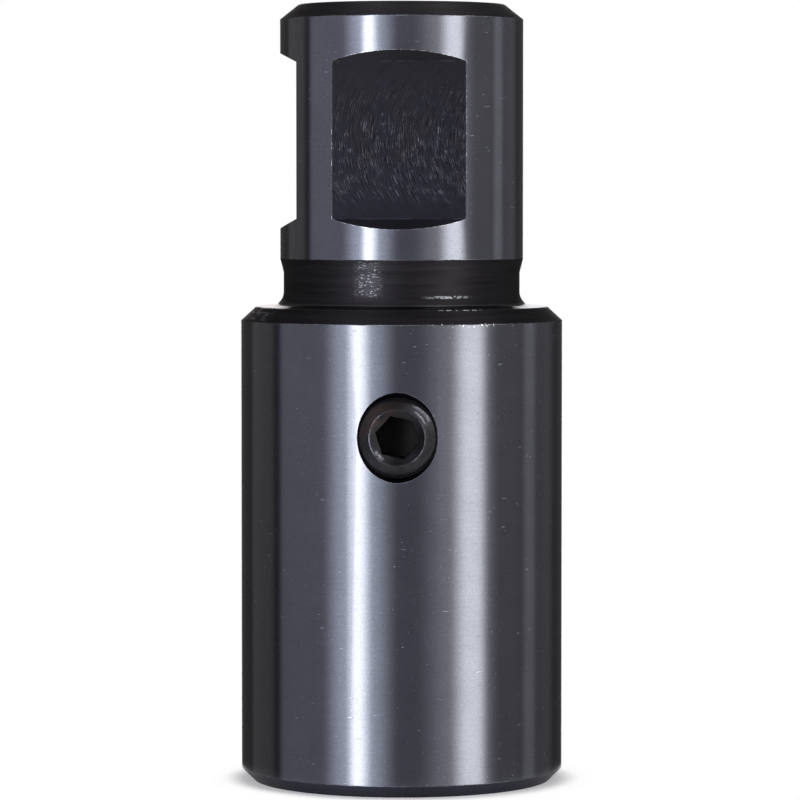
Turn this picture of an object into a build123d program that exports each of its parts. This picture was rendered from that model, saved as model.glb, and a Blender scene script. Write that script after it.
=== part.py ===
from build123d import *

import os
from math import radians, sqrt, tan

# Tap holder: a turned steel holder with a flatted shank, and the set screw that holds the tap.
# Millimetres. The origin is the centre of the lower end face, where the tap goes in.
# +Z runs up the axis to the end of the shank. The set screw is in front, on the -Y side.

# Body
body_diameter = 25.2
body_length = 37.15
body_end_chamfer = 0.95
shoulder_chamfer_width = 1.2
shoulder_chamfer_height = 1.1

# Shank
shank_diameter = 19.05
shank_length = 23.55
shank_chamfer_width = 1.45
shank_chamfer_height = 1.15

# Neck between the body's shoulder and the ground shank
neck_undercut = 0.275
neck_length = 2.65
neck_taper_length = 1.1
neck_fillet_radius = 1.15

# Two clamping flats, a quarter turn apart, with ends that slope out to the round
flat_depth = 1.52
flat_floor_length = 12.1
flat_end_slope = 28.0
flat_centre_below_top = 10.62
flat_directions = (0.0, -90.0)

# Centre hole in the top face, left from grinding between centres
centre_mouth_diameter = 6.7
centre_cone_angle = 60.0
centre_pilot_diameter = 3.15
centre_pilot_length = 2.5

# Tap bore, square drive socket above it, and the pilot drilling that the socket was broached from
tap_bore_diameter = 9.0
tap_bore_chamfer = 0.6
tap_bore_end_below_shoulder = 4.65
drive_square_width = 7.1
drive_square_depth = 10.0
drive_corner_clearance = 0.2
pilot_drilling_oversize = 0.05
pilot_drilling_length = 4.0
drill_point_angle = 118.0

# Set screw hole
screw_below_shoulder = 9.65
thread_diameter = 6.0
thread_clearance = 0.05
screw_countersink_width = 0.425
screw_countersink_angle = 90.0

# Set screw, with a hexagon socket outside and a cup point inside
screw_recess = 0.05
screw_point_clearance = 0.05
screw_face_chamfer_width = 0.825
screw_face_slope = 30.0
screw_point_chamfer = 1.5
screw_cup_angle = 120.0
screw_cup_rim = 0.15
key_width = 3.0
key_depth = 3.5
key_chamfer_width = 0.12
key_chamfer_slope = 30.0
key_turn = 47.0

# How far the cut for a hole or a flat starts outside the surface
overrun = 2.0

# Sizes that follow from those above
body_radius = body_diameter / 2
shank_radius = shank_diameter / 2
neck_radius = shank_radius - neck_undercut
total_length = body_length + shank_length
tap_bore_radius = tap_bore_diameter / 2
tap_bore_depth = body_length - tap_bore_end_below_shoulder
thread_radius = thread_diameter / 2
screw_height = body_length - screw_below_shoulder
screw_length = body_radius - screw_recess - tap_bore_radius - screw_point_clearance


def cone_height(radius, included_angle):
    """Height of a cone of this radius, from its included angle."""
    return radius / tan(radians(included_angle / 2))


def turned_blank():
    """The holder as it leaves the lathe and the grinder, still solid."""
    neck_top = body_length + neck_length
    fillet_outside = (neck_radius + neck_fillet_radius, body_length)
    fillet_top = (neck_radius, body_length + neck_fillet_radius)
    half_section = Polyline(
        (0, 0),
        (body_radius - body_end_chamfer, 0),
        (body_radius, body_end_chamfer),
        (body_radius, body_length - shoulder_chamfer_height),
        (body_radius - shoulder_chamfer_width, body_length),
        fillet_outside,
    )
    half_section += RadiusArc(fillet_outside, fillet_top, neck_fillet_radius)
    half_section += Polyline(
        fillet_top,
        (neck_radius, neck_top),
        (shank_radius, neck_top + neck_taper_length),
        (shank_radius, total_length - shank_chamfer_height),
        (shank_radius - shank_chamfer_width, total_length),
        (0, total_length),
        (0, 0),
    )
    return revolve(Plane.XZ * make_face(half_section), Axis.Z)


def clamping_flat(direction):
    """The cut for one flat. Direction 0 faces the front, and -90 faces left."""
    reach = flat_depth + overrun
    floor_half = flat_floor_length / 2
    mouth_half = floor_half + reach * tan(radians(flat_end_slope))
    side_view = Polyline(
        (-reach, -mouth_half),
        (0, -floor_half),
        (0, floor_half),
        (-reach, mouth_half),
        close=True,
    )
    cut = extrude(Plane.YZ * make_face(side_view), shank_radius, both=True)
    floor_place = Pos(0, flat_depth - shank_radius, total_length - flat_centre_below_top)
    return Rot(0, 0, direction) * floor_place * cut


def centre_hole():
    """The cut for the centre hole in the top face."""
    mouth_radius = centre_mouth_diameter / 2
    pilot_radius = centre_pilot_diameter / 2
    mouth_depth = cone_height(mouth_radius - pilot_radius, centre_cone_angle)
    pilot_end = mouth_depth + centre_pilot_length
    half_section = Polyline(
        (0, overrun),
        (mouth_radius, overrun),
        (mouth_radius, 0),
        (pilot_radius, -mouth_depth),
        (pilot_radius, -pilot_end),
        (0, -pilot_end - cone_height(pilot_radius, drill_point_angle)),
        close=True,
    )
    return Pos(0, 0, total_length) * revolve(Plane.XZ * make_face(half_section), Axis.Z)


def tap_socket():
    """The cut for the tap: a round bore, a square that clears the tap's corners, and the drilling."""
    mouth_radius = tap_bore_radius + tap_bore_chamfer
    corner_radius = tap_bore_radius + drive_corner_clearance
    drilling_radius = drive_square_width / 2 + pilot_drilling_oversize
    drilling_end = tap_bore_depth + drive_square_depth + pilot_drilling_length
    half_section = Polyline(
        (0, -overrun),
        (mouth_radius, -overrun),
        (mouth_radius, 0),
        (tap_bore_radius, tap_bore_chamfer),
        (tap_bore_radius, tap_bore_depth),
        (drilling_radius, tap_bore_depth),
        (drilling_radius, drilling_end),
        (0, drilling_end + cone_height(drilling_radius, drill_point_angle)),
        close=True,
    )
    round_cut = revolve(Plane.XZ * make_face(half_section), Axis.Z)
    square = Rectangle(drive_square_width, drive_square_width) & Circle(corner_radius)
    return round_cut + Pos(0, 0, tap_bore_depth) * extrude(square, drive_square_depth)


def screw_place(distance):
    """A plane across the set screw's axis, facing outwards, this far from the holder's axis."""
    return Plane(origin=(0, -distance, screw_height), x_dir=(1, 0, 0), z_dir=(0, -1, 0)).location


def screw_hole():
    """The cut for the set screw: the hole into the bore, and its countersunk mouth."""
    hole_radius = thread_radius + thread_clearance
    mouth_radius = hole_radius + screw_countersink_width
    slope = tan(radians(screw_countersink_angle / 2))
    cone_depth = mouth_radius / slope
    upright = (Align.CENTER, Align.CENTER, Align.MIN)
    hole = Cylinder(hole_radius, body_radius + overrun, align=upright)
    cone = Cone(0, mouth_radius + overrun * slope, cone_depth + overrun, align=upright)
    return screw_place(0) * hole + screw_place(body_radius - cone_depth) * cone


def holder_body():
    """The whole holder, one piece of steel."""
    holder = turned_blank() - tap_socket() - centre_hole() - screw_hole()
    for direction in flat_directions:
        holder -= clamping_flat(direction)
    return holder


def key_socket():
    """The cut for the hexagon key, with its lip and drilled end, opening at z = 0."""
    corner_radius = key_width / sqrt(3)
    hexagon = RegularPolygon(corner_radius, 6, rotation=key_turn)
    tip = Cone(
        0,
        corner_radius,
        cone_height(corner_radius, drill_point_angle),
        align=(Align.CENTER, Align.CENTER, Align.MAX),
    )
    tip &= extrude(hexagon, -key_depth)
    lip_radius = corner_radius + key_chamfer_width
    lip = Cone(
        0,
        lip_radius,
        lip_radius * tan(radians(key_chamfer_slope)),
        align=(Align.CENTER, Align.CENTER, Align.MAX),
    )
    return extrude(hexagon, -key_depth) + Pos(0, 0, -key_depth) * tip + lip


def set_screw():
    """The set screw in its place, socket outwards. Its thread is left as a plain cylinder."""
    face_radius = thread_radius - screw_face_chamfer_width
    face_drop = screw_face_chamfer_width * tan(radians(screw_face_slope))
    point_radius = thread_radius - screw_point_chamfer
    cup_radius = point_radius - screw_cup_rim
    half_section = Polyline(
        (0, cone_height(cup_radius, screw_cup_angle)),
        (cup_radius, 0),
        (point_radius, 0),
        (thread_radius, screw_point_chamfer),
        (thread_radius, screw_length - face_drop),
        (face_radius, screw_length),
        (0, screw_length),
        close=True,
    )
    screw = revolve(Plane.XZ * make_face(half_section), Axis.Z)
    screw -= Pos(0, 0, screw_length) * key_socket()
    return screw_place(tap_bore_radius + screw_point_clearance) * screw


def main():
    os.makedirs("parts", exist_ok=True)
    export_step(holder_body(), "parts/holder_body.step")
    export_step(set_screw(), "parts/set_screw.step")


main()
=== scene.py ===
"""Looks of the tap holder: its steel finishes, the set screw and its thread, the studio and the camera."""

from math import cos, pi, radians, sin, sqrt, tan
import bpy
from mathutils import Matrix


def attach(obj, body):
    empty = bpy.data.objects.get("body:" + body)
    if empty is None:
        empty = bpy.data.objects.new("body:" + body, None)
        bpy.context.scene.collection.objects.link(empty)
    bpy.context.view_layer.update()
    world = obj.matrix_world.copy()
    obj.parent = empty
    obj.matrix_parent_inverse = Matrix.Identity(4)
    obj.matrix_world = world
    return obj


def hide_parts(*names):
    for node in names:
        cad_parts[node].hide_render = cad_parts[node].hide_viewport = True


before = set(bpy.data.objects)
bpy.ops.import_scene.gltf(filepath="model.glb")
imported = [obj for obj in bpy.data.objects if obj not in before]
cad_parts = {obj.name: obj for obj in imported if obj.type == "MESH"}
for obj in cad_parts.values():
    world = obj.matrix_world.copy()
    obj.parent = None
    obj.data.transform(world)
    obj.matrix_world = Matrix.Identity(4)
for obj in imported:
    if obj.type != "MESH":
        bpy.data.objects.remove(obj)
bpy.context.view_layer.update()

from types import SimpleNamespace

import bmesh
import bpy
from bpy.props import FloatProperty, FloatVectorProperty, PointerProperty
from bpy.types import NodeSocket, Operator, Panel, PropertyGroup
from mathutils import Matrix, Vector

bl_info = {
    "name": "Tap Holder",
    "version": (1, 0, 0),
    "blender": (4, 5, 0),
    "location": "3D View > Sidebar > Tap Holder",
    "description": "Finishes a flatted-shank tap holder and its set screw, and sets up the studio",
    "category": "Object",
}

MM = 0.001
DEGREES_PER_RADIAN = 180 / pi

# Places on the holder, in millimetres from the centre of its lower end face
BODY_RADIUS = 12.6
BODY_GROUND = (0.95, 36.05)
HOLDER_MIDDLE = 30.0
SHOULDER_RADIUS = 11.4
SHOULDER_CHAMFER = (36.15, 37.1)
SHOULDER_FACE = (37.05, 37.58)
NECK = (37.3, 40.85)
NECK_RADIUS = 9.25
NECK_FOOT_RADIUS = 10.4
NECK_FILLET_TOP = 38.3
SHANK_RADIUS = 9.525
SHANK_GROUND = (40.9, 59.55)
TOP_HEIGHT = 60.7
CENTRE_HOLE_RADIUS = 3.35
FLAT_DISTANCE = 8.005
FLAT_MIDDLE = 50.08
FLAT_MOUTH = (43.0, 57.2)
FLAT_FLOOR_HALF = 6.05
SCREW_HEIGHT = 27.5
SCREW_MOUTH_RADIUS = 3.475

# Wear and painted highlights on the neck and the shoulder: millimetres up the holder, and sectors in degrees
# from the front towards the right, each with the softness of its edges
TORN_HEIGHTS = (38.15, 40.7)
TORN_SECTORS = ((-20.5, -9.0, 3.0), (128.0, 150.0, 6.0), (-118.0, -92.0, 6.0))
# A painted highlight line on the neck's fillet, at these heights and in these sectors
FILLET_HIGHLIGHT_HEIGHTS = (37.96, 38.14)
FILLET_HIGHLIGHT_SECTORS = ((13.0, 35.0, 3.0), (-170.0, -130.0, 8.0))
# A painted highlight along the shoulder's outer edge, and one along the body's upper edge
COLLAR_HIGHLIGHT_HEIGHTS = (36.98, 37.3)
COLLAR_HIGHLIGHT_SECTORS = ((16.0, 33.0, 2.0), (-74.0, -52.0, 4.0))
BODY_EDGE_HIGHLIGHT_HEIGHTS = (35.85, 36.12)
BODY_EDGE_HIGHLIGHT_SECTORS = ((10.0, 50.0, 6.0),)
SCRAPE_SECTORS = ((-80.0, -58.0, 5.0),)

# The edge of the screw's hole stays sharp, out to between these distances from the screw's axis
SHARP_HOLE_EDGE = (3.7, 3.8)

# The front flat's two sides stay sharp too, but for the heights at which each is worn
FLAT_SIDE_HEIGHTS = (44.3, 56.0)
FLAT_SIDE_RADII = (9.3, 9.4)
FLAT_SIDES = (((-35.5, -30.0, 0.5), (48.1, 51.3)), ((30.0, 35.5, 0.5), (46.7, 55.2)))

# The strokes on the flats are clear between these heights, and thin out above the middle
CLEAR_STROKES = (45.6, 54.3)
THINNING_STROKES = (50.8, 52.8)

# The set screw's own axis points out of the hole, with its tip at zero
SCREW_TIP_DISTANCE = 4.55
SCREW_LENGTH = 8.0
SCREW_WIDEST_RADIUS = 3.0
SCREW_FACE_RADIUS = 2.175
SCREW_FACE_SLOPE = 32.0
SCREW_POINT_RADIUS = 1.5
SCREW_CUP_RADIUS = 1.35
POINT_SLOPE = 30.0
KEY_TURN = 47.0
KEY_LIP_WIDTH = 0.36
DRILL_SHARE_OF_KEY = 0.9
DRILL_OVERLAP = 0.1
KEY_OVERRUN = 1.0

# The screw's dark socket: its walls within this radius, all of it beyond this mouth, and its lip
SOCKET_RADIUS = 1.8
SOCKET_MOUTH = (-11.9, -11.7)
LIP_RADIUS = 2.09

# Painted highlights on the screw's outer end: radii, and sectors in degrees from the right upwards, as above
SCREW_HIGHLIGHT_ARCS = (((2.30, 2.46), (27.0, 56.0, 4.0)), ((2.62, 2.90), (28.0, 66.0, 4.0)))
LIP_HIGHLIGHT_SPOKES = ((-148.0, -124.0, 4.0),)

# The crown, where the screw's thread runs out into its plain end, along its own axis
CROWN_START = 7.2
CROWN_FULL = 7.45
CROWN_END = 8.5
RUN_OUT_DEPTH = 0.35
CROWN_PLAY = 0.02

# The tapped thread in the screw's hole, along the same axis
SLEEVE_RADIUS = 3.045
SLEEVE_START = 0.05
SLEEVE_BELOW_BODY = 0.48
LEAD_IN_RADIUS = 2.5
LEAD_IN_LENGTH = 0.545
TAP_ROOT_RADIUS = 2.55
TAP_CREST_RADIUS = 3.02
TAP_PLAY = 0.04

# The turns of both helices, from below the tip to beyond the face
FIRST_TURN = -3
TURNS = 15

# How many sides stand for a round
SEGMENTS = 96
SCREW_SEGMENTS = 120
DRILL_SEGMENTS = 48

# After the cuts, vertices closer than this and edges shorter than this are joined, in metres
JOIN_DISTANCE = 0.0005 * MM


def colour_property(name, description, default):
    return FloatVectorProperty(
        name=name, description=description, default=default, size=3, min=0.0, max=1.0, subtype="COLOR"
    )


def factor_property(name, description, default):
    return FloatProperty(
        name=name, description=description, default=default, min=0.0, max=1.0, subtype="FACTOR"
    )


def length_property(name, description, default):
    return FloatProperty(
        name=name, description=description, default=default, min=0.0, unit="LENGTH", precision=5
    )


def level_property(name, description, default):
    return FloatProperty(name=name, description=description, default=default, min=0.0, soft_max=10.0)


def angle_property(name, description, default):
    return FloatProperty(
        name=name, description=description, default=radians(default), subtype="ANGLE"
    )


class HolderFinish(PropertyGroup):
    """Colours and textures of the holder's surfaces."""

    ground_colour: colour_property(
        "Ground steel", "Colour of the finely ground shank and body", (0.163, 0.168, 0.189)
    )
    turned_colour: colour_property(
        "Turned steel", "Colour of the chamfers, neck and shoulder", (0.037, 0.034, 0.037)
    )
    milled_colour: colour_property(
        "Milled steel", "Colour of the two clamping flats", (0.038, 0.038, 0.046)
    )
    worn_colour: colour_property(
        "Worn edge", "Colour of the bare steel that shows at the edges", (0.42, 0.43, 0.47)
    )
    ground_roughness: factor_property("Ground roughness", "Roughness of the ground steel", 0.17)
    turned_roughness: factor_property("Turned roughness", "Roughness of the turned steel", 0.62)
    faced_roughness: factor_property("Faced roughness", "Roughness of the shoulder's face", 0.12)
    milled_roughness: factor_property("Milled roughness", "Roughness of the milled flats", 0.42)
    stroke_radius: length_property(
        "Stroke radius", "Radius of the curved strokes that the mill left on the flats", 8.2 * MM
    )


class ScrewShape(PropertyGroup):
    """Sizes and finish of the set screw."""

    outer_diameter: length_property("Diameter", "Thread diameter over its crests", 5.94 * MM)
    root_diameter: length_property("Root diameter", "Thread diameter at its roots", 4.84 * MM)
    pitch: length_property("Pitch", "How far the screw goes in one turn", 1.0 * MM)
    key_width: length_property("Key width", "Width of the hexagon key across its flats", 3.0 * MM)
    key_depth: length_property("Key depth", "Depth of the hexagon socket", 3.5 * MM)
    colour: colour_property("Screw steel", "Colour of the black set screw", (0.034, 0.034, 0.037))
    roughness: factor_property("Screw roughness", "Roughness of the set screw", 0.36)


class StudioSettings(PropertyGroup):
    """Sizes and levels of the studio, and the camera's place."""

    tent_radius: length_property("Tent radius", "Radius of the light tent", 0.55)
    strip_level: level_property("Strip", "Brightness of the narrow light on the left", 5.0)
    window_level: level_property("Window", "Brightness of the broad light on the right", 2.7)
    fill_level: level_property("Fill", "Brightness of the rest of the tent's front", 0.20)
    floor_radius: length_property("Floor radius", "Radius of the pale floor", 0.016)
    camera_distance: length_property("Camera distance", "From the holder's axis to the camera", 0.34)
    camera_height: length_property("Camera height", "Height of the camera over the floor", 0.0465)
    camera_azimuth: angle_property("Camera azimuth", "Turn of the camera to the right", 1.5)
    aim_height: length_property("Aim height", "Height of the point that the camera looks at", 0.02977)
    aim_offset: length_property("Aim offset", "How far the camera looks to the left of the axis", 0.00013)
    lens: FloatProperty(name="Lens", description="Focal length", default=195.0, unit="CAMERA")


SETTINGS = {
    "tap_holder_finish": HolderFinish,
    "tap_holder_screw": ScrewShape,
    "tap_holder_studio": StudioSettings,
}


class Wiring:
    """Short calls that add and join the nodes of one material or world."""

    def __init__(self, tree):
        self.tree = tree
        tree.nodes.clear()

    def add(self, kind, **settings):
        node = self.tree.nodes.new(kind)
        for name, value in settings.items():
            setattr(node, name, value)
        return node

    def put(self, socket, value):
        if isinstance(value, NodeSocket):
            self.tree.links.new(value, socket)
        else:
            socket.default_value = value

    def math(self, operation, *values):
        node = self.add("ShaderNodeMath", operation=operation)
        for socket, value in zip(node.inputs, values):
            self.put(socket, value)
        return node.outputs[0]

    def chain(self, operation, values):
        """The operation on the first two values, then on the result and each value that follows."""
        result = values[0]
        for value in values[1:]:
            result = self.math(operation, result, value)
        return result

    def total(self, *values):
        return self.chain("ADD", values)

    def product(self, *values):
        return self.chain("MULTIPLY", values)

    def largest(self, *values):
        return self.chain("MAXIMUM", values)

    def rest(self, value):
        """What is left of one."""
        return self.math("SUBTRACT", 1.0, value)

    def varied(self, base, noise, amount):
        """The base, moved up and down by a noise that is about a half."""
        return self.math("MULTIPLY_ADD", self.math("SUBTRACT", noise, 0.5), amount, base)

    def angle(self, across, along):
        """The angle in degrees from the second axis towards the first."""
        return self.product(self.math("ARCTAN2", across, along), DEGREES_PER_RADIAN)

    def vector(self, operation, *values):
        node = self.add("ShaderNodeVectorMath", operation=operation)
        for socket, value in zip(node.inputs, values):
            self.put(socket, value)
        return node

    def rise(self, value, low, high, to_low=0.0, to_high=1.0):
        """Goes smoothly from to_low to to_high as value goes from low to high."""
        node = self.add("ShaderNodeMapRange", interpolation_type="SMOOTHSTEP")
        for name, number in zip(
            ("Value", "From Min", "From Max", "To Min", "To Max"), (value, low, high, to_low, to_high)
        ):
            self.put(node.inputs[name], number)
        return node.outputs["Result"]

    def fall(self, value, low, high):
        """Goes smoothly from one to zero as value goes from low to high."""
        return self.rise(value, low, high, 1.0, 0.0)

    def band(self, value, low, high, soft):
        """One between low and high, zero outside, with soft edges."""
        return self.product(
            self.rise(value, low - soft, low + soft), self.fall(value, high - soft, high + soft)
        )

    def in_sectors(self, angle, sectors):
        """One where the angle is in a sector. Each sector is (from, to, softness) in degrees."""
        return self.largest(*(self.band(angle, *sector) for sector in sectors))

    def length_2d(self, a, b):
        return self.math("SQRT", self.total(self.product(a, a), self.product(b, b)))

    def join(self, x, y, z):
        node = self.add("ShaderNodeCombineXYZ")
        for socket, value in zip(node.inputs, (x, y, z)):
            self.put(socket, value)
        return node.outputs[0]

    # A Mix node has sockets of its own for each kind of value, so these two tell them by number
    def mix(self, factor, a, b):
        """Goes from colour a to colour b as the factor goes from zero to one."""
        node = self.add("ShaderNodeMix", data_type="RGBA")
        for socket, value in ((node.inputs[0], factor), (node.inputs[6], a), (node.inputs[7], b)):
            self.put(socket, (*value, 1.0) if isinstance(value, tuple) else value)
        return node.outputs[2]

    def blend(self, factor, a, b):
        """Goes from number a to number b as the factor goes from zero to one."""
        node = self.add("ShaderNodeMix", data_type="FLOAT")
        for socket, value in ((node.inputs[0], factor), (node.inputs[2], a), (node.inputs[3], b)):
            self.put(socket, value)
        return node.outputs[0]

    def layers(self, laid_on, base, *layers):
        """The base with each layer laid on in order, by mix or blend. A layer is (where, what)."""
        for where, what in layers:
            base = laid_on(where, base, what)
        return base

    def tinted(self, colour, factor):
        """A colour times a grey factor."""
        node = self.vector("SCALE", colour)
        self.put(node.inputs["Scale"], factor)
        return node.outputs[0]

    def noise(self, place, scale, detail=2.0, roughness=0.5, distortion=0.0):
        node = self.add("ShaderNodeTexNoise")
        for name, value in (
            ("Vector", place),
            ("Scale", scale),
            ("Detail", detail),
            ("Roughness", roughness),
            ("Distortion", distortion),
        ):
            self.put(node.inputs[name], value)
        return node.outputs["Fac"]

    def place_in_mm(self):
        """The place on the piece at rest in millimetres, as a vector and as x, y and z."""
        place = self.tinted(self.add("ShaderNodeTexCoord").outputs["Object"], 1.0 / MM)
        parts = self.add("ShaderNodeSeparateXYZ")
        self.put(parts.inputs[0], place)
        return place, parts.outputs[0], parts.outputs[1], parts.outputs[2]

    def normal(self):
        return self.add("ShaderNodeNewGeometry").outputs["Normal"]

    def rounded(self, radius, low, high):
        """The normal with every edge rounded to this radius, and one on those edges, zero elsewhere."""
        bevel = self.add("ShaderNodeBevel", samples=8)
        bevel.inputs["Radius"].default_value = radius
        agreement = self.vector("DOT_PRODUCT", bevel.outputs[0], self.normal()).outputs["Value"]
        return bevel.outputs[0], self.rise(self.rest(agreement), low, high)

    def bump(self, height, distance, normal=None):
        node = self.add("ShaderNodeBump")
        node.inputs["Distance"].default_value = distance
        self.put(node.inputs["Height"], height)
        if normal is not None:
            self.put(node.inputs["Normal"], normal)
        return node.outputs[0]

    def steel(self, colour, roughness, normal, anisotropy=0.0, tangent_axis=None):
        """A bare metal surface as the material's output."""
        shader = self.add("ShaderNodeBsdfPrincipled")
        self.put(shader.inputs["Base Color"], colour)
        self.put(shader.inputs["Roughness"], roughness)
        self.put(shader.inputs["Normal"], normal)
        shader.inputs["Metallic"].default_value = 1.0
        if tangent_axis:
            shader.inputs["Anisotropic"].default_value = anisotropy
            shader.inputs["Anisotropic Rotation"].default_value = 0.25
            tangent = self.add("ShaderNodeTangent", direction_type="RADIAL", axis=tangent_axis)
            self.put(shader.inputs["Tangent"], tangent.outputs[0])
        self.end_in("ShaderNodeOutputMaterial", shader)

    def end_in(self, kind, shader):
        """Joins a shader to the output that it is the surface of."""
        output = self.add(kind)
        self.put(output.inputs["Surface"], shader.outputs[0])


def new_material(name):
    material = bpy.data.materials.new(name)
    material.use_nodes = True
    return material, Wiring(material.node_tree)


def holder_surfaces(wire):
    """Coordinates on the holder, and where each of its surfaces is, as masks from zero to one."""
    at = SimpleNamespace()
    at.place, at.x, at.y, at.z = wire.place_in_mm()
    at.radius = wire.length_2d(at.x, at.y)
    at.turn = wire.angle(at.x, wire.product(at.y, -1.0))
    at.from_flat_middle = wire.math("ABSOLUTE", wire.math("SUBTRACT", at.z, FLAT_MIDDLE))
    at.from_screw = wire.length_2d(at.x, wire.math("SUBTRACT", at.z, SCREW_HEIGHT))
    at.front_half = wire.fall(at.y, -0.1, 0.0)
    at.wobble = wire.math("MULTIPLY_ADD", wire.noise(at.place, 1.6, 3.0), 0.10, -0.05)
    at.uneven_z = wire.total(at.z, at.wobble)

    on_body = wire.product(
        wire.rise(at.radius, BODY_RADIUS - 0.05, BODY_RADIUS - 0.03),
        wire.band(at.uneven_z, *BODY_GROUND, 0.02),
    )
    on_shank = wire.product(
        wire.band(at.radius, SHANK_RADIUS - 0.03, SHANK_RADIUS + 0.2, 0.01),
        wire.band(at.uneven_z, *SHANK_GROUND, 0.02),
    )
    at.ground = wire.largest(on_body, on_shank)
    at.flats = wire.product(
        wire.band(at.radius, FLAT_DISTANCE - 0.1, SHANK_RADIUS - 0.04, 0.01),
        wire.band(at.z, *FLAT_MOUTH, 0.02),
    )
    at.neck = wire.product(
        wire.band(at.z, *NECK, 0.05), wire.fall(at.radius, NECK_FOOT_RADIUS - 0.1, NECK_FOOT_RADIUS)
    )
    at.shoulder = wire.product(
        wire.band(at.z, *SHOULDER_FACE, 0.05),
        wire.rise(at.radius, NECK_RADIUS + 0.3, NECK_RADIUS + 0.5),
        wire.fall(at.radius, SHOULDER_RADIUS + 0.02, SHOULDER_RADIUS + 0.05),
    )
    at.base_chamfer = wire.fall(at.z, BODY_GROUND[0] - 0.05, BODY_GROUND[0] + 0.05)
    at.top = wire.product(
        wire.rise(at.z, TOP_HEIGHT - 0.1, TOP_HEIGHT - 0.02),
        wire.rise(at.radius, CENTRE_HOLE_RADIUS, CENTRE_HOLE_RADIUS + 0.05),
    )
    at.screw_hole = wire.product(
        wire.fall(at.from_screw, SCREW_MOUTH_RADIUS - 0.02, SCREW_MOUTH_RADIUS + 0.02),
        at.front_half,
        wire.fall(at.radius, BODY_RADIUS - 0.07, BODY_RADIUS - 0.05),
    )
    return at


def along_the_turning(wire, at, squeeze):
    """A place for noise that is drawn out round the holder, as a turning tool leaves it."""
    return wire.join(wire.product(at.x, squeeze), wire.product(at.y, squeeze), at.z)


def neck_wear_and_highlights(wire, at):
    """Torn patches on the neck and the dashes in them, a painted highlight line at its foot, and painted
    highlights on the dashes.
    """
    place = along_the_turning(wire, at, 0.42)
    dashes = wire.rise(wire.noise(place, 8.5, 2.0, 0.8), 0.52, 0.62)
    torn = wire.product(wire.in_sectors(at.turn, TORN_SECTORS), wire.band(at.uneven_z, *TORN_HEIGHTS, 0.15))
    painted_highlight = wire.product(
        wire.band(at.uneven_z, *FILLET_HIGHLIGHT_HEIGHTS, 0.04),
        wire.in_sectors(at.turn, FILLET_HIGHLIGHT_SECTORS),
        wire.rise(wire.noise(place, 9.0, 2.0, 0.7), 0.42, 0.54),
    )
    painted_shine = wire.product(at.neck, wire.largest(wire.product(torn, dashes), painted_highlight))
    return SimpleNamespace(torn=torn, dashes=dashes, painted_highlight=painted_highlight, painted_shine=painted_shine)


def shoulder_highlights_and_scrape(wire, at):
    """Painted highlights on the shoulder's outer edge and on the body's upper edge, and the scrape on its
    chamfer.
    """
    collar_highlight = wire.product(
        wire.band(at.radius, SHOULDER_RADIUS - 0.1, SHOULDER_RADIUS + 0.06, 0.02),
        wire.band(at.z, *COLLAR_HIGHLIGHT_HEIGHTS, 0.02),
        wire.in_sectors(at.turn, COLLAR_HIGHLIGHT_SECTORS),
        wire.rise(wire.noise(at.place, 2.6, 3.0, 0.7), 0.44, 0.52),
    )
    body_edge_highlight = wire.product(
        wire.band(at.z, *BODY_EDGE_HIGHLIGHT_HEIGHTS, 0.03),
        wire.in_sectors(at.turn, BODY_EDGE_HIGHLIGHT_SECTORS),
        wire.rise(wire.noise(at.place, 4.2, 2.0, 0.6), 0.60, 0.66),
    )
    scraped = wire.product(
        wire.band(at.z, *SHOULDER_CHAMFER, 0.04),
        wire.rise(at.radius, SHOULDER_RADIUS - 0.4, SHOULDER_RADIUS - 0.3),
        wire.in_sectors(at.turn, SCRAPE_SECTORS),
        wire.rise(wire.noise(along_the_turning(wire, at, 0.13), 6.0, 3.0, 0.7), 0.50, 0.60),
    )
    return wire.largest(collar_highlight, body_edge_highlight), scraped


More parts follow.
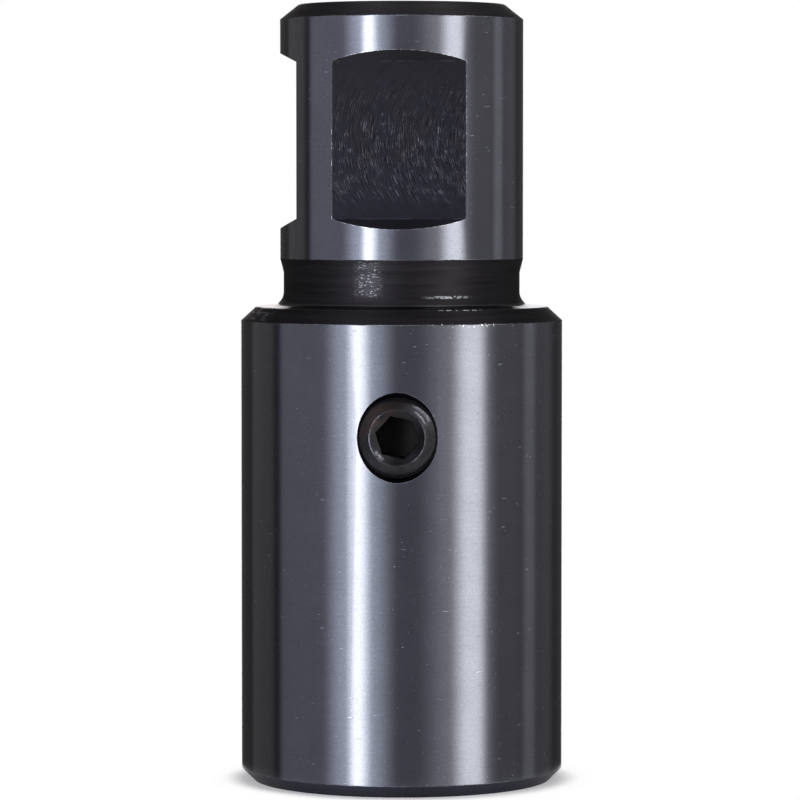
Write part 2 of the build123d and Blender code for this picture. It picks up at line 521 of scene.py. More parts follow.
def milling(wire, at, finish):
    """The colour and the height of the curved strokes on the two clamping flats."""
    from_middle = wire.math("SUBTRACT", at.z, FLAT_MIDDLE)
    radius = finish.stroke_radius / MM
    chord = wire.math("SQRT", wire.math("SUBTRACT", radius**2, wire.product(from_middle, from_middle)))
    sagitta = wire.math("SUBTRACT", radius, chord)
    across = wire.math("SUBTRACT", wire.total(at.x, wire.product(at.y, -1.0)), sagitta)
    strokes = wire.noise(wire.join(across, 3.7, wire.product(at.z, 0.09)), 10.5, 1.0, 0.5, 0.15)

    clear_of_ends = wire.band(wire.total(at.z, wire.product(at.wobble, 12.0)), *CLEAR_STROKES, 0.8)
    dense = wire.rise(wire.total(at.z, wire.product(at.wobble, 10.0)), *THINNING_STROKES, 1.0, 0.4)
    patches = wire.rise(wire.noise(at.place, 1.6, 2.0, 0.5), 0.44, 0.62, 0.15, 1.0)
    broken = wire.product(patches, clear_of_ends, dense)
    bright = wire.product(wire.rise(strokes, 0.60, 0.73), wire.blend(broken, 0.08, 1.0))
    dark = wire.product(wire.fall(strokes, 0.34, 0.46), wire.blend(broken, 0.25, 1.0))
    glints = wire.product(
        wire.rise(wire.noise(at.place, 3.4, 1.0, 0.4), 0.67, 0.72),
        wire.rise(strokes, 0.50, 0.62),
        clear_of_ends,
    )
    painted_light_on_ends = wire.product(
        wire.rise(at.from_flat_middle, FLAT_FLOOR_HALF - 0.02, FLAT_FLOOR_HALF + 0.04),
        wire.rise(at.z, FLAT_MIDDLE - 0.08, FLAT_MIDDLE + 0.02, 0.15, 0.7),
    )
    end_lines = wire.product(
        wire.band(at.from_flat_middle, FLAT_FLOOR_HALF - 0.05, FLAT_FLOOR_HALF + 0.02, 0.015),
        wire.rise(wire.noise(at.place, 1.3, 2.0, 0.6), 0.48, 0.60),
    )
    # Painted light: the glints, and the ramps at the flat's ends made lighter, the upper ramp more than the
    # lower
    tone = wire.total(
        wire.blend(bright, 1.0, 2.4),
        wire.product(dark, -0.75),
        wire.product(glints, 2.0),
        painted_light_on_ends,
        wire.product(end_lines, 1.1),
    )
    low_and_blue = wire.math(
        "MULTIPLY_ADD", wire.math("SUBTRACT", FLAT_MIDDLE, at.z), 0.03, wire.noise(at.place, 0.5, 2.0)
    )
    hue = wire.mix(wire.rise(low_and_blue, 0.38, 0.66), (1.04, 1.0, 0.94), (1.0, 1.0, 1.05))
    colour = wire.vector("MULTIPLY", wire.tinted(tuple(finish.milled_colour), tone), hue).outputs[0]
    height = wire.product(wire.math("SUBTRACT", strokes, 0.5), wire.blend(broken, 0.2, 1.5))
    grain = wire.noise(at.place, 7.0, 3.0, 0.6)
    return colour, wire.total(height, wire.product(grain, 0.2))


def holder_edges(wire, at):
    """The normal with its broken edges, and where those edges are worn: outside, and round the flats."""
    round_normal, edges = wire.rounded(0.09 * MM, 0.012, 0.10)
    near_hole = wire.product(wire.fall(at.from_screw, *SHARP_HOLE_EDGE), at.front_half)
    frayed = wire.rise(wire.noise(at.place, 4.5, 2.0, 0.6), 0.44, 0.54)

    def flat_side(sector, worn_heights):
        """One along one side of the front flat, where it isn't frayed."""
        worn = wire.product(frayed, wire.band(at.z, *worn_heights, 0.1))
        return wire.product(wire.band(at.turn, *sector), wire.rest(worn))

    plain = wire.rest(
        wire.product(
            wire.total(*(flat_side(*side) for side in FLAT_SIDES)),
            wire.band(at.z, *FLAT_SIDE_HEIGHTS, 0.1),
            wire.rise(at.radius, *FLAT_SIDE_RADII),
        )
    )
    rounding = wire.product(
        wire.rise(wire.noise(at.place, 1.5, 3.0, 0.6), 0.47, 0.60, 0.05, 1.0), wire.rest(near_hole), plain
    )
    outside = wire.largest(
        wire.rise(at.radius, SHOULDER_RADIUS - 0.2, SHOULDER_RADIUS - 0.1),
        wire.product(
            wire.rise(at.radius, SHANK_RADIUS - 0.10, SHANK_RADIUS - 0.07),
            wire.rise(at.z, NECK_FILLET_TOP + 0.3, NECK_FILLET_TOP + 0.4),
        ),
        wire.rise(at.z, TOP_HEIGHT - 0.25, TOP_HEIGHT - 0.2),
    )
    worn = wire.product(
        edges,
        outside,
        plain,
        wire.rise(wire.noise(at.place, 3.1, 4.0, 0.7), 0.40, 0.64),
        wire.rest(at.screw_hole),
    )
    flat_rims = wire.product(
        edges,
        wire.rise(at.from_flat_middle, FLAT_FLOOR_HALF + 0.2, FLAT_FLOOR_HALF + 0.25),
        wire.fall(at.from_flat_middle, FLAT_FLOOR_HALF + 1.25, FLAT_FLOOR_HALF + 1.35),
        wire.rise(wire.noise(at.place, 5.0, 3.0, 0.7), 0.46, 0.56),
    )
    return wire.mix(rounding, wire.normal(), round_normal), worn, flat_rims


def holder_textures(wire, at):
    """The noises that more than one of colour, roughness and height are made from."""
    rings = along_the_turning(wire, at, 0.06)
    facing = wire.join(at.radius, wire.product(at.x, 0.05), wire.product(at.y, 0.05))
    specks = wire.rise(wire.noise(at.place, 6.5, 1.0, 0.5), 0.765, 0.785)
    ticks = wire.rise(wire.noise(along_the_turning(wire, at, 0.16), 6.0, 1.0, 0.4), 0.765, 0.785)
    return SimpleNamespace(
        fine_rings=wire.noise(rings, 8.0, 2.0, 0.5),
        coarse_rings=wire.noise(rings, 2.2, 3.0, 0.6),
        faced_rings=wire.noise(facing, 5.0, 3.0, 0.6),
        mottle=wire.noise(at.place, 7.0, 3.0, 0.8),
        marks=wire.largest(specks, wire.product(ticks, 0.8)),
    )


def unworn_colour(wire, at, texture, finish):
    """The colour of the ground steel, and of the turned steel elsewhere."""
    clouds = wire.noise(at.place, 0.35, 3.0, 0.55)
    ground_tone = wire.product(
        wire.rise(texture.mottle, 0.3, 0.7, 0.92, 1.08),
        wire.rise(texture.fine_rings, 0.2, 0.8, 0.97, 1.03),
        wire.rise(clouds, 0.25, 0.75, 0.96, 1.04),
        wire.rise(at.z, 38.0, 40.0, 1.0, 1.08),
    )
    turned_tone = wire.product(
        wire.rise(texture.coarse_rings, 0.25, 0.75, 0.75, 1.25),
        wire.blend(wire.band(at.radius, 8.0, 9.6, 0.1), 0.65, 1.0),
    )
    turned_tone = wire.blend(at.top, turned_tone, wire.rise(texture.faced_rings, 0.3, 0.7, 1.6, 2.6))
    return wire.mix(
        at.ground,
        wire.tinted(tuple(finish.turned_colour), turned_tone),
        wire.tinted(tuple(finish.ground_colour), ground_tone),
    )


def holder_height(wire, at, texture, neck, milled_height):
    """The height of the fine relief all over the holder."""
    height = wire.total(
        wire.product(texture.fine_rings, wire.blend(at.ground, 0.9, 0.012)),
        wire.product(texture.coarse_rings, wire.blend(at.ground, 1.6, 0.0)),
    )
    height = wire.layers(
        wire.blend, height, (at.flats, milled_height), (at.top, wire.product(texture.faced_rings, 0.8))
    )
    height = wire.product(height, wire.rest(at.shoulder))
    height = wire.math("MULTIPLY_ADD", wire.product(texture.marks, at.ground), -0.5, height)
    return wire.math("MULTIPLY_ADD", wire.product(neck.dashes, neck.torn, at.neck), 0.5, height)


def holder_material(finish):
    """Ground, turned, milled and drilled steel, each where the holder has it."""
    material, wire = new_material("holder_black_steel")
    at = holder_surfaces(wire)
    texture = holder_textures(wire, at)
    neck = neck_wear_and_highlights(wire, at)
    edge_highlights, scraped = shoulder_highlights_and_scrape(wire, at)
    milled_colour, milled_height = milling(wire, at, finish)
    normal, worn, flat_rims = holder_edges(wire, at)
    worn_colour = tuple(finish.worn_colour)

    colour = wire.layers(
        wire.mix,
        unworn_colour(wire, at, texture, finish),
        (at.base_chamfer, (0.040, 0.041, 0.056)),
        (at.flats, milled_colour),
        # Painted shade: the countersunk mouth of the screw's hole is painted near black
        (at.screw_hole, (0.004, 0.004, 0.005)),
        (wire.product(neck.torn, at.neck, 0.5), (0.030, 0.032, 0.036)),
        # Painted highlights on the neck: the dashes in its torn patches and the line at its foot
        (neck.painted_shine, (0.16, 0.165, 0.175)),
        (neck.painted_highlight, (0.20, 0.205, 0.215)),
        (at.shoulder, (0.10, 0.10, 0.105)),
        (scraped, (0.32, 0.33, 0.40)),
        # Painted highlights along the shoulder's outer edge and the body's upper edge
        (edge_highlights, (0.80, 0.81, 0.84)),
        (wire.product(texture.marks, at.ground, 0.7), worn_colour),
        (worn, worn_colour),
        (flat_rims, (0.85, 0.86, 0.90)),
    )
    roughness = wire.layers(
        wire.blend,
        wire.blend(at.ground, finish.turned_roughness, finish.ground_roughness),
        (at.flats, finish.milled_roughness),
        (at.shoulder, finish.faced_roughness),
        (at.top, 0.36),
        (wire.product(neck.torn, at.neck), 0.40),
        (wire.largest(neck.painted_shine, scraped, worn), 0.25),
        (at.screw_hole, 0.30),
    )
    roughness = wire.varied(roughness, texture.mottle, 0.04)
    height = holder_height(wire, at, texture, neck, milled_height)
    wire.steel(colour, roughness, wire.bump(height, 0.030 * MM, normal), 0.75, "Z")
    return material


def screw_surfaces(wire):
    """Coordinates on the set screw's outer end, and where its socket and its lip are."""
    at = SimpleNamespace()
    at.place, at.x, at.y, z = wire.place_in_mm()
    at.up = wire.math("SUBTRACT", z, SCREW_HEIGHT)
    at.from_axis = wire.length_2d(at.x, at.up)
    at.spoke = wire.angle(at.up, at.x)
    facing = wire.add("ShaderNodeSeparateXYZ")
    wire.put(facing.inputs[0], wire.normal())
    outward = wire.math("ABSOLUTE", facing.outputs[1])
    at.socket = wire.product(
        wire.fall(at.from_axis, SOCKET_RADIUS - 0.04, SOCKET_RADIUS),
        wire.largest(wire.fall(outward, 0.35, 0.55), wire.rise(at.y, *SOCKET_MOUTH)),
    )
    at.lip = wire.fall(at.from_axis, LIP_RADIUS - 0.01, LIP_RADIUS + 0.01)
    return at


def round_the_screw(wire, at, squeeze):
    """A place for noise that is drawn out round the screw's axis."""
    return wire.join(at.from_axis, wire.product(at.x, squeeze), wire.product(at.up, squeeze))


def screw_highlights(wire, at, grain):
    """Painted highlights on the screw's end: arcs on its face and crown, a patch on its lip, and a line
    round the lip's rim, strongest on the left.
    """
    fine = wire.noise(round_the_screw(wire, at, 0.30), 14.0, 2.0, 0.6)
    arcs = (
        wire.product(wire.band(at.from_axis, *radii, 0.03), wire.band(at.spoke, *sector))
        for radii, sector in SCREW_HIGHLIGHT_ARCS
    )
    highlight_arcs = wire.product(wire.largest(*arcs), wire.rise(fine, 0.40, 0.52))
    painted_highlight = wire.product(
        wire.in_sectors(at.spoke, LIP_HIGHLIGHT_SPOKES),
        wire.band(at.from_axis, 1.84, 2.22, 0.03),
        wire.rise(grain, 0.40, 0.52),
    )
    left_rim = wire.largest(wire.rise(at.spoke, 122.0, 134.0), wire.fall(at.spoke, -152.0, -140.0))
    rim_highlight = wire.product(
        wire.band(at.from_axis, LIP_RADIUS, LIP_RADIUS + 0.09, 0.01),
        wire.largest(left_rim, wire.product(wire.band(at.spoke, -58.0, 38.0, 4.0), 0.45)),
        wire.rise(wire.noise(at.place, 5.0, 2.0, 0.7), 0.36, 0.58, 0.2, 1.0),
    )
    return wire.largest(highlight_arcs, painted_highlight), rim_highlight


def screw_material(shape):
    """Black oxide steel with turned rings on its face, and a little wear on its edges."""
    material, wire = new_material("screw_black_steel")
    at = screw_surfaces(wire)
    clouds = wire.noise(at.place, 0.9, 3.0, 0.6)
    grain = wire.noise(at.place, 9.0, 3.0, 0.6)
    rings = wire.noise(round_the_screw(wire, at, 0.22), 8.5, 2.0, 0.6)
    round_normal, edges = wire.rounded(0.05 * MM, 0.004, 0.05)
    outside = wire.rest(at.socket)
    bright, rim_highlight = screw_highlights(wire, at, grain)

    # Painted shade darkens the right side of the end and its lip, and painted light lightens the lower
    # crown; the crown's outer rim is darker too
    right_side = wire.band(at.spoke, -45.0, 16.0, 12.0)
    below = wire.product(wire.band(at.spoke, -140.0, -50.0, 20.0), wire.rise(at.from_axis, 2.5, 2.8))
    tone = wire.product(
        wire.rise(clouds, 0.25, 0.75, 0.9, 1.1),
        wire.rise(rings, 0.38, 0.62, 0.85, 1.15),
        wire.blend(at.lip, 1.0, 0.62),
        wire.blend(right_side, 1.0, 0.6),
        wire.blend(below, 1.0, 1.5),
        wire.rise(at.from_axis, 2.88, 2.94, 1.0, 0.6),
    )
    upper_left = wire.rise(wire.math("SUBTRACT", at.up, at.x), 1.2, 3.0)
    brown = wire.product(wire.rise(wire.noise(at.place, 0.9, 2.0, 0.5), 0.42, 0.60), upper_left)
    edge_wear = wire.product(edges, outside, wire.rise(wire.noise(at.place, 2.7, 3.0, 0.6), 0.36, 0.62))
    # The painted highlights are laid on as brighter steel, and the one round the lip's rim as pale steel
    colour = wire.layers(
        wire.mix,
        wire.tinted(tuple(shape.colour), wire.blend(bright, tone, 2.6)),
        (rim_highlight, (0.26, 0.27, 0.28)),
        (wire.product(brown, 0.6), (0.050, 0.030, 0.024)),
        (at.socket, (0.028, 0.026, 0.024)),
        (wire.product(edge_wear, 0.8), (0.16, 0.16, 0.17)),
    )

    roughness = wire.blend(wire.largest(bright, rim_highlight), shape.roughness, 0.18)
    roughness = wire.varied(wire.blend(at.socket, roughness, 0.60), grain, 0.06)
    height = wire.total(wire.product(grain, 0.15), wire.product(rings, outside, 0.12))
    wire.steel(colour, roughness, wire.bump(height, 0.012 * MM, round_normal))
    return material


def thread_material(finish):
    """The tapped thread inside the holder, darker than its outside."""
    material, wire = new_material("tapped_black_steel")
    grain = wire.noise(wire.place_in_mm()[0], 6.0, 4.0, 0.65)
    colour = wire.tinted(tuple(finish.turned_colour), wire.rise(grain, 0.2, 0.8, 0.45, 0.95))
    roughness = wire.math("MULTIPLY_ADD", grain, 0.2, finish.turned_roughness)
    wire.steel(colour, roughness, wire.bump(grain, 0.012 * MM))
    return material


def screw_axis_matrix():
    """From the screw's own axes, in millimetres with the tip at zero, to the holder's, in metres."""
    turn = Matrix(((1, 0, 0), (0, 0, -1), (0, 1, 0))).to_4x4()
    place = Matrix.Translation(Vector((0, -SCREW_TIP_DISTANCE, SCREW_HEIGHT)) * MM)
    return place @ turn @ Matrix.Scale(MM, 4)


def ring(mesh, radius, height, count, first_angle=0.0):
    """New vertices, evenly spaced on a circle about z."""
    angles = (first_angle + 2 * pi * i / count for i in range(count))
    return [mesh.verts.new((radius * cos(a), radius * sin(a), height)) for a in angles]


def lathe(profile, segments):
    """A surface turned about z, from (radius, height) points. It is closed if both ends are on the axis."""
    mesh = bmesh.new()
    rings = [
        ring(mesh, radius, height, segments) if radius else [mesh.verts.new((0, 0, height))]
        for radius, height in profile
    ]
    for lower, upper in zip(rings, rings[1:]):
        for i in range(segments):
            j = (i + 1) % segments
            corners = [
                lower[i % len(lower)], lower[j % len(lower)], upper[j % len(upper)], upper[i % len(upper)]
            ]
            mesh.faces.new(list(dict.fromkeys(corners)))
    return mesh


def helix(profile, pitch, segments):
    """A closed screw-shaped solid about z. profile is (height, radius) over one pitch, upwards."""
    mesh = bmesh.new()
    rows = [
        (height + pitch * (FIRST_TURN + turn), radius) for turn in range(TURNS) for height, radius in profile
    ]
    columns = []
    for i in range(segments):
        angle = 2 * pi * i / segments
        lift = pitch * i / segments
        places = ((radius * cos(angle), radius * sin(angle), height + lift) for height, radius in rows)
        columns.append([mesh.verts.new(place) for place in places])
    first, last = columns[0], columns[-1]
    step = len(profile)
    for left, right in zip(columns, columns[1:] + [first[step:]]):
        for row in range(len(right) - 1):
            mesh.faces.new((left[row], right[row], right[row + 1], left[row + 1]))
    lower_loop = [column[0] for column in columns] + first[step:0:-1]
    upper_loop = [column[-1] for column in columns] + last[-2 : -2 - step : -1]
    for loop, height in ((lower_loop, rows[0][0] - pitch), (upper_loop, rows[-1][0] + 2 * pitch)):
        apex = mesh.verts.new((0, 0, height))
        for a, b in zip(loop, loop[1:] + loop[:1]):
            mesh.faces.new((apex, a, b))
    return mesh


def thread_profile(root_radius, crest_radius, pitch, pitch_radius, play):
    """One pitch of a 60 degree thread's ridge, widened by the play, with its middle at zero."""
    flank = tan(radians(30))
    crest_half = pitch / 4 - (crest_radius - pitch_radius) * flank + play
    root_half = pitch / 4 - (root_radius - pitch_radius) * flank + play
    return [
        (-crest_half, crest_radius),
        (crest_half, crest_radius),
        (root_half, root_radius),
        (pitch - root_half, root_radius),
    ]


def prism(corner_radius, sides, turn, low, high):
    """A closed prism about z, with one corner turned this many radians from x."""
    mesh = bmesh.new()
    lower, upper = (ring(mesh, corner_radius, height, sides, turn) for height in (low, high))
    mesh.faces.new(lower[::-1])
    mesh.faces.new(upper)
    for i in range(sides):
        j = (i + 1) % sides
        mesh.faces.new((lower[i], lower[j], upper[j], upper[i]))
    return mesh


def new_object(name, mesh):
    bmesh.ops.recalc_face_normals(mesh, faces=mesh.faces[:])
    data = bpy.data.meshes.new(name)
    mesh.to_mesh(data)
    mesh.free()
    piece = bpy.data.objects.new(name, data)
    bpy.context.scene.collection.objects.link(piece)
    return piece


def cut(piece, tool, operation):
    """Leaves piece with tool joined to it, cut from it, or as what both share, and deletes tool."""
    modifier = piece.modifiers.new("cut", "BOOLEAN")
    modifier.object = tool
    modifier.operation = operation
    modifier.solver = "EXACT"
    shown = piece.evaluated_get(bpy.context.evaluated_depsgraph_get())
    result = bpy.data.meshes.new_from_object(shown)
    piece.modifiers.clear()
    old = piece.data
    piece.data = result
    bpy.data.meshes.remove(old)
    data = tool.data
    bpy.data.objects.remove(tool)
    bpy.data.meshes.remove(data)
    if not result.polygons:
        raise RuntimeError(f"{piece.name} came out empty")


def finish_piece(piece, material, sharp_angle):
    """Gives piece its material, with smooth shading inside its sharp edges, and moves it to its place."""
    data = piece.data
    data.transform(screw_axis_matrix())
    data.materials.clear()
    data.materials.append(material)
    mesh = bmesh.new()
    mesh.from_mesh(data)
    bmesh.ops.remove_doubles(mesh, verts=mesh.verts[:], dist=JOIN_DISTANCE)
    bmesh.ops.dissolve_degenerate(mesh, edges=mesh.edges[:], dist=JOIN_DISTANCE)
    for face in mesh.faces:
        face.smooth = True
        face.material_index = 0
    for edge in mesh.edges:
        edge.smooth = len(edge.link_faces) == 2 and edge.calc_face_angle() < sharp_angle
    mesh.to_mesh(data)
    mesh.free()


class TAPHOLDER_OT_finish_holder(Operator):
    """Gives the holder its ground, turned and milled black steel"""

    bl_idname = "tap_holder.finish_holder"
    bl_label = "Finish Holder"
    bl_options = {"REGISTER", "UNDO"}

    def execute(self, context):
        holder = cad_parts["holder_body"]
        material = holder_material(context.scene.tap_holder_finish)
        holder.data.materials.clear()
        holder.data.materials.append(material)
        return {"FINISHED"}


class TAPHOLDER_OT_tap_screw_hole(Operator):
    """Cuts the thread in the hole for the set screw"""

    bl_idname = "tap_holder.tap_screw_hole"
    bl_label = "Tap Screw Hole"
    bl_options = {"REGISTER", "UNDO"}

    def execute(self, context):
        shape = context.scene.tap_holder_screw
        pitch = shape.pitch / MM
        outer_end = BODY_RADIUS - SCREW_TIP_DISTANCE - SLEEVE_BELOW_BODY
        lead_in = outer_end - LEAD_IN_LENGTH
        bar = (
            (0, SLEEVE_START),
            (SLEEVE_RADIUS, SLEEVE_START),
            (SLEEVE_RADIUS, outer_end),
            (LEAD_IN_RADIUS, lead_in),
            (0, lead_in),
        )
        sleeve = new_object("screw_hole_thread", lathe(bar, SEGMENTS))
        pitch_radius = (shape.outer_diameter + shape.root_diameter) / 4 / MM
        profile = thread_profile(TAP_ROOT_RADIUS, TAP_CREST_RADIUS, pitch, pitch_radius, TAP_PLAY)
        cut(sleeve, new_object("tap", helix(profile, pitch, SEGMENTS)), "DIFFERENCE")
        finish_piece(sleeve, thread_material(context.scene.tap_holder_finish), sharp_angle=radians(30))
        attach(sleeve, "holder")
        return {"FINISHED"}


def screw_envelope():
    """The outline that the whole screw lies in, with its cup, its point and its crown."""
    drop = (SCREW_WIDEST_RADIUS - SCREW_FACE_RADIUS) * tan(radians(SCREW_FACE_SLOPE))
    return (
        (0, SCREW_CUP_RADIUS * tan(radians(POINT_SLOPE))),
        (SCREW_CUP_RADIUS, 0),
        (SCREW_POINT_RADIUS, 0),
        (SCREW_WIDEST_RADIUS, SCREW_WIDEST_RADIUS - SCREW_POINT_RADIUS),
        (SCREW_WIDEST_RADIUS, SCREW_LENGTH - drop),
        (SCREW_FACE_RADIUS, SCREW_LENGTH),
        (0, SCREW_LENGTH),
    )


def cut_key_socket(screw, width, depth):
    """Cuts the hexagon socket with its lip and its drilled end. Sizes are in millimetres."""
    corner = width / sqrt(3)
    bottom = SCREW_LENGTH - depth
    hexagon = prism(corner, 6, radians(KEY_TURN), bottom, SCREW_LENGTH + KEY_OVERRUN)
    lip = corner + KEY_LIP_WIDTH
    lip_depth = lip * tan(radians(SCREW_FACE_SLOPE))
    lip_top = SCREW_LENGTH + lip_depth
    lip_cone = ((0, SCREW_LENGTH - lip_depth), (2 * lip, lip_top), (0, lip_top))
    drill = DRILL_SHARE_OF_KEY * corner
    drill_top = bottom + DRILL_OVERLAP
    drill_point = bottom - drill * tan(radians(POINT_SLOPE))
    drill_end = ((0, drill_point), (drill, bottom), (drill, drill_top), (0, drill_top))
    cut(screw, new_object("key", hexagon), "DIFFERENCE")
    cut(screw, new_object("lip", lathe(lip_cone, SEGMENTS)), "DIFFERENCE")
    cut(screw, new_object("drill", lathe(drill_end, DRILL_SEGMENTS)), "DIFFERENCE")


class TAPHOLDER_OT_make_set_screw(Operator):
    """Makes the threaded set screw with its hexagon socket and cup point"""

    bl_idname = "tap_holder.make_set_screw"
    bl_label = "Make Set Screw"
    bl_options = {"REGISTER", "UNDO"}

    def execute(self, context):
        shape = context.scene.tap_holder_screw
        pitch = shape.pitch / MM
        crest = shape.outer_diameter / 2 / MM
        root = shape.root_diameter / 2 / MM
        profile = thread_profile(root, crest, pitch, (crest + root) / 2, 0.0)
        screw = new_object("socket_set_screw", helix(profile, pitch, SCREW_SEGMENTS))
        crown_radius = crest - CROWN_PLAY
        crown = (
            (0, CROWN_START),
            (crest - RUN_OUT_DEPTH, CROWN_START),
            (crown_radius, CROWN_FULL),
            (crown_radius, CROWN_END),
            (0, CROWN_END),
        )
        cut(screw, new_object("crown", lathe(crown, SCREW_SEGMENTS)), "UNION")
        cut(screw, new_object("envelope", lathe(screw_envelope(), SCREW_SEGMENTS)), "INTERSECT")
        cut_key_socket(screw, shape.key_width / MM, shape.key_depth / MM)
        finish_piece(screw, screw_material(shape), sharp_angle=radians(24))
        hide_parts("set_screw")
        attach(screw, "screw")
        return {"FINISHED"}


def shown_rays(wire):
    """One for rays that show the background: from the camera, in a reflection or through glass."""
    path = wire.add("ShaderNodeLightPath")
    return wire.largest(*(path.outputs[f"Is {kind} Ray"] for kind in ("Camera", "Glossy", "Transmission")))


def floor_material():
    """White that keeps the holder's soft shadow near it and fades into the background further out."""
    material, wire = new_material("pale_floor")
    _, x, y, _ = wire.place_in_mm()
    from_middle = wire.length_2d(x, y)
    open_floor = wire.total(
        wire.rise(from_middle, 12.2, 14.2, 0.30, 0.95), wire.rise(from_middle, 13.5, 15.8, 0.0, 0.05)
    )
    white = wire.add("ShaderNodeEmission")
    matt = wire.add("ShaderNodeBsdfDiffuse")
    matt.inputs["Color"].default_value = (0.85, 0.85, 0.85, 1.0)
    both = wire.add("ShaderNodeMixShader")
    wire.put(both.inputs[0], wire.product(open_floor, shown_rays(wire)))
    wire.put(both.inputs[1], matt.outputs[0])
    wire.put(both.inputs[2], white.outputs[0])
    wire.end_in("ShaderNodeOutputMaterial", both)
    return material


def tent_material(studio):
    """The inside of the light tent: a strip and a window in front, with dim cloth around them."""
    material, wire = new_material("light_tent")
    _, x, y, z = wire.place_in_mm()
    azimuth = wire.math(
        "MULTIPLY_ADD",
        wire.math("ARCTAN2", x, wire.product(y, -1.0)),
        DEGREES_PER_RADIAN,
        -DEGREES_PER_RADIAN * studio.camera_azimuth,
    )
    elevation = wire.angle(wire.math("SUBTRACT", z, HOLDER_MIDDLE), wire.length_2d(x, y))

    def part(level, left, right):
        """A soft-edged stretch. Each edge is (where it is dark, where it is bright) in degrees."""
        return wire.product(level, wire.rise(azimuth, *left), wire.fall(azimuth, *right[::-1]))

    def light(level, left, right, top):
        """A stretch that ends above the floor and at its top, an edge given in the same way."""
        return wire.product(
            part(level, left, right), wire.rise(elevation, -60.0, -45.0), wire.fall(elevation, *top[::-1])
        )

    fill = studio.fill_level
    cloth = wire.total(
        0.066,
        part(0.125, (-137.0, -129.5), (-100.5, -107.0)),
        part(fill * 0.7, (92.0, 100.0), (142.0, 126.0)),
        part(fill * 1.25, (94.0, 101.0), (112.0, 106.0)),
        part(fill, (-98.0, -93.0), (104.0, 88.0)),
        part(fill * 0.55, (-98.0, -93.0), (-20.0, -50.0)),
    )
    cloth = wire.product(cloth, wire.rise(elevation, -12.0, 10.0, 0.9, 1.3))
    behind = wire.rise(wire.math("ABSOLUTE", azimuth), 168.0, 171.0)
    cloth_colour = wire.mix(wire.rise(azimuth, -104.0, -94.0), (1.0, 0.936, 0.94), (1.0, 1.0, 1.16))
    cloth_colour = wire.mix(wire.rise(azimuth, 5.0, 60.0), cloth_colour, (1.0, 0.99, 1.03))
    glow = wire.tinted(cloth_colour, wire.total(cloth, behind))

    strip_top = (42.0, 30.0)
    window_top = (75.0, 63.0)
    strip = light(studio.strip_level, (-40.0, -32.5), (-20.0, -31.0), strip_top)
    strip_glow = light(studio.strip_level * 0.23, (-58.5, -41.0), (-2.0, -22.0), strip_top)
    window = light(studio.window_level, (33.0, 48.0), (64.5, 54.5), window_top)
    window_glow = light(studio.window_level * 0.2, (9.0, 36.0), (73.0, 58.0), window_top)
    for colour, level in (
        ((1.0, 1.0, 1.0), wire.total(strip, window)),
        ((1.0, 1.07, 1.22), strip_glow),
        ((1.0, 1.0, 1.06), window_glow),
    ):
        glow = wire.vector("ADD", glow, wire.tinted(colour, level)).outputs[0]
    emission = wire.add("ShaderNodeEmission")
    wire.put(emission.inputs["Color"], glow)
    wire.end_in("ShaderNodeOutputMaterial", emission)
    return material


def open_sheet(name, points, material):
    """A thin turned sheet of the studio about z, from (radius, height) points in metres."""
    piece = new_object(name, lathe(points, SEGMENTS))
    for face in piece.data.polygons:
        face.use_smooth = True
    piece.data.materials.append(material)
    return piece


class TAPHOLDER_OT_set_up_studio(Operator):
    """Puts up the pale floor, the light tent and the white background"""

    bl_idname = "tap_holder.set_up_studio"
    bl_label = "Set Up Studio"
    bl_options = {"REGISTER", "UNDO"}

    def execute(self, context):
        studio = context.scene.tap_holder_studio
        open_sheet("pale_floor", ((0, 0), (studio.floor_radius, 0)), floor_material())
        radius = studio.tent_radius
        top = 1.5 * radius
        walls = ((radius, -0.8 * radius), (radius, 1.1 * radius), (0.35 * radius, top), (0, top))
        tent = open_sheet("light_tent", walls, tent_material(studio))
        tent.visible_camera = False
        tent.visible_shadow = False
        world = bpy.data.worlds.new("white_studio")
        world.use_nodes = True
        wire = Wiring(world.node_tree)
        background = wire.add("ShaderNodeBackground")
        wire.put(background.inputs["Strength"], wire.blend(shown_rays(wire), 0.45, 1.0))
        background.inputs["Color"].default_value = (1.0, 1.0, 1.0, 1.0)
        wire.end_in("ShaderNodeOutputWorld", background)
        context.scene.world = world
        context.scene.view_settings.view_transform = "Standard"
        return {"FINISHED"}


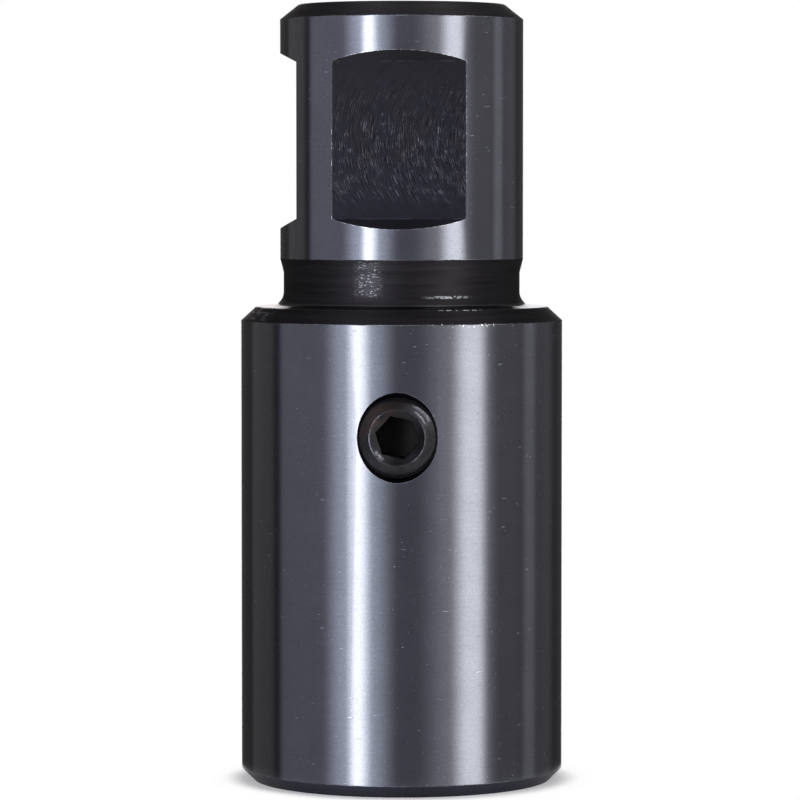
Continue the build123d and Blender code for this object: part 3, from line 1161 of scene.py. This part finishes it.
class TAPHOLDER_OT_place_camera(Operator):
    """Places the camera at the photograph's viewing angle"""

    bl_idname = "tap_holder.place_camera"
    bl_label = "Place Camera"
    bl_options = {"REGISTER", "UNDO"}

    def execute(self, context):
        studio = context.scene.tap_holder_studio
        turn = studio.camera_azimuth
        to_right = Vector((cos(turn), sin(turn), 0))
        eye = Vector((sin(turn), -cos(turn), 0)) * studio.camera_distance
        eye.z = studio.camera_height
        aim = Vector((0, 0, studio.aim_height)) - to_right * studio.aim_offset
        data = bpy.data.cameras.new("camera")
        data.lens = studio.lens
        data.sensor_width = 36.0
        data.clip_start = 0.01
        data.clip_end = 10.0
        camera = bpy.data.objects.new("camera", data)
        camera.location = eye
        camera.rotation_euler = (aim - eye).to_track_quat("-Z", "Y").to_euler()
        context.scene.collection.objects.link(camera)
        context.scene.camera = camera
        return {"FINISHED"}


STEPS = (
    TAPHOLDER_OT_finish_holder,
    TAPHOLDER_OT_tap_screw_hole,
    TAPHOLDER_OT_make_set_screw,
    TAPHOLDER_OT_set_up_studio,
    TAPHOLDER_OT_place_camera,
)


class TAPHOLDER_PT_panel(Panel):
    """Lists the steps and the settings that dress the tap holder"""

    bl_idname = "TAPHOLDER_PT_panel"
    bl_label = "Tap Holder"
    bl_space_type = "VIEW_3D"
    bl_region_type = "UI"
    bl_category = "Tap Holder"

    def draw(self, context):
        for step in STEPS:
            self.layout.operator(step.bl_idname)
        for name, group in SETTINGS.items():
            box = self.layout.box()
            settings = getattr(context.scene, name)
            for field in group.__annotations__:
                box.prop(settings, field)


def register():
    for item in (*SETTINGS.values(), *STEPS, TAPHOLDER_PT_panel):
        bpy.utils.register_class(item)
    for name, group in SETTINGS.items():
        setattr(bpy.types.Scene, name, PointerProperty(type=group))


def unregister():
    for name in SETTINGS:
        delattr(bpy.types.Scene, name)
    for item in (TAPHOLDER_PT_panel, *STEPS, *SETTINGS.values()):
        bpy.utils.unregister_class(item)


def main():
    register()
    bpy.ops.tap_holder.finish_holder()
    bpy.ops.tap_holder.tap_screw_hole()
    bpy.ops.tap_holder.make_set_screw()
    bpy.ops.tap_holder.set_up_studio()
    bpy.ops.tap_holder.place_camera()


if __name__ == "__main__":
    main()
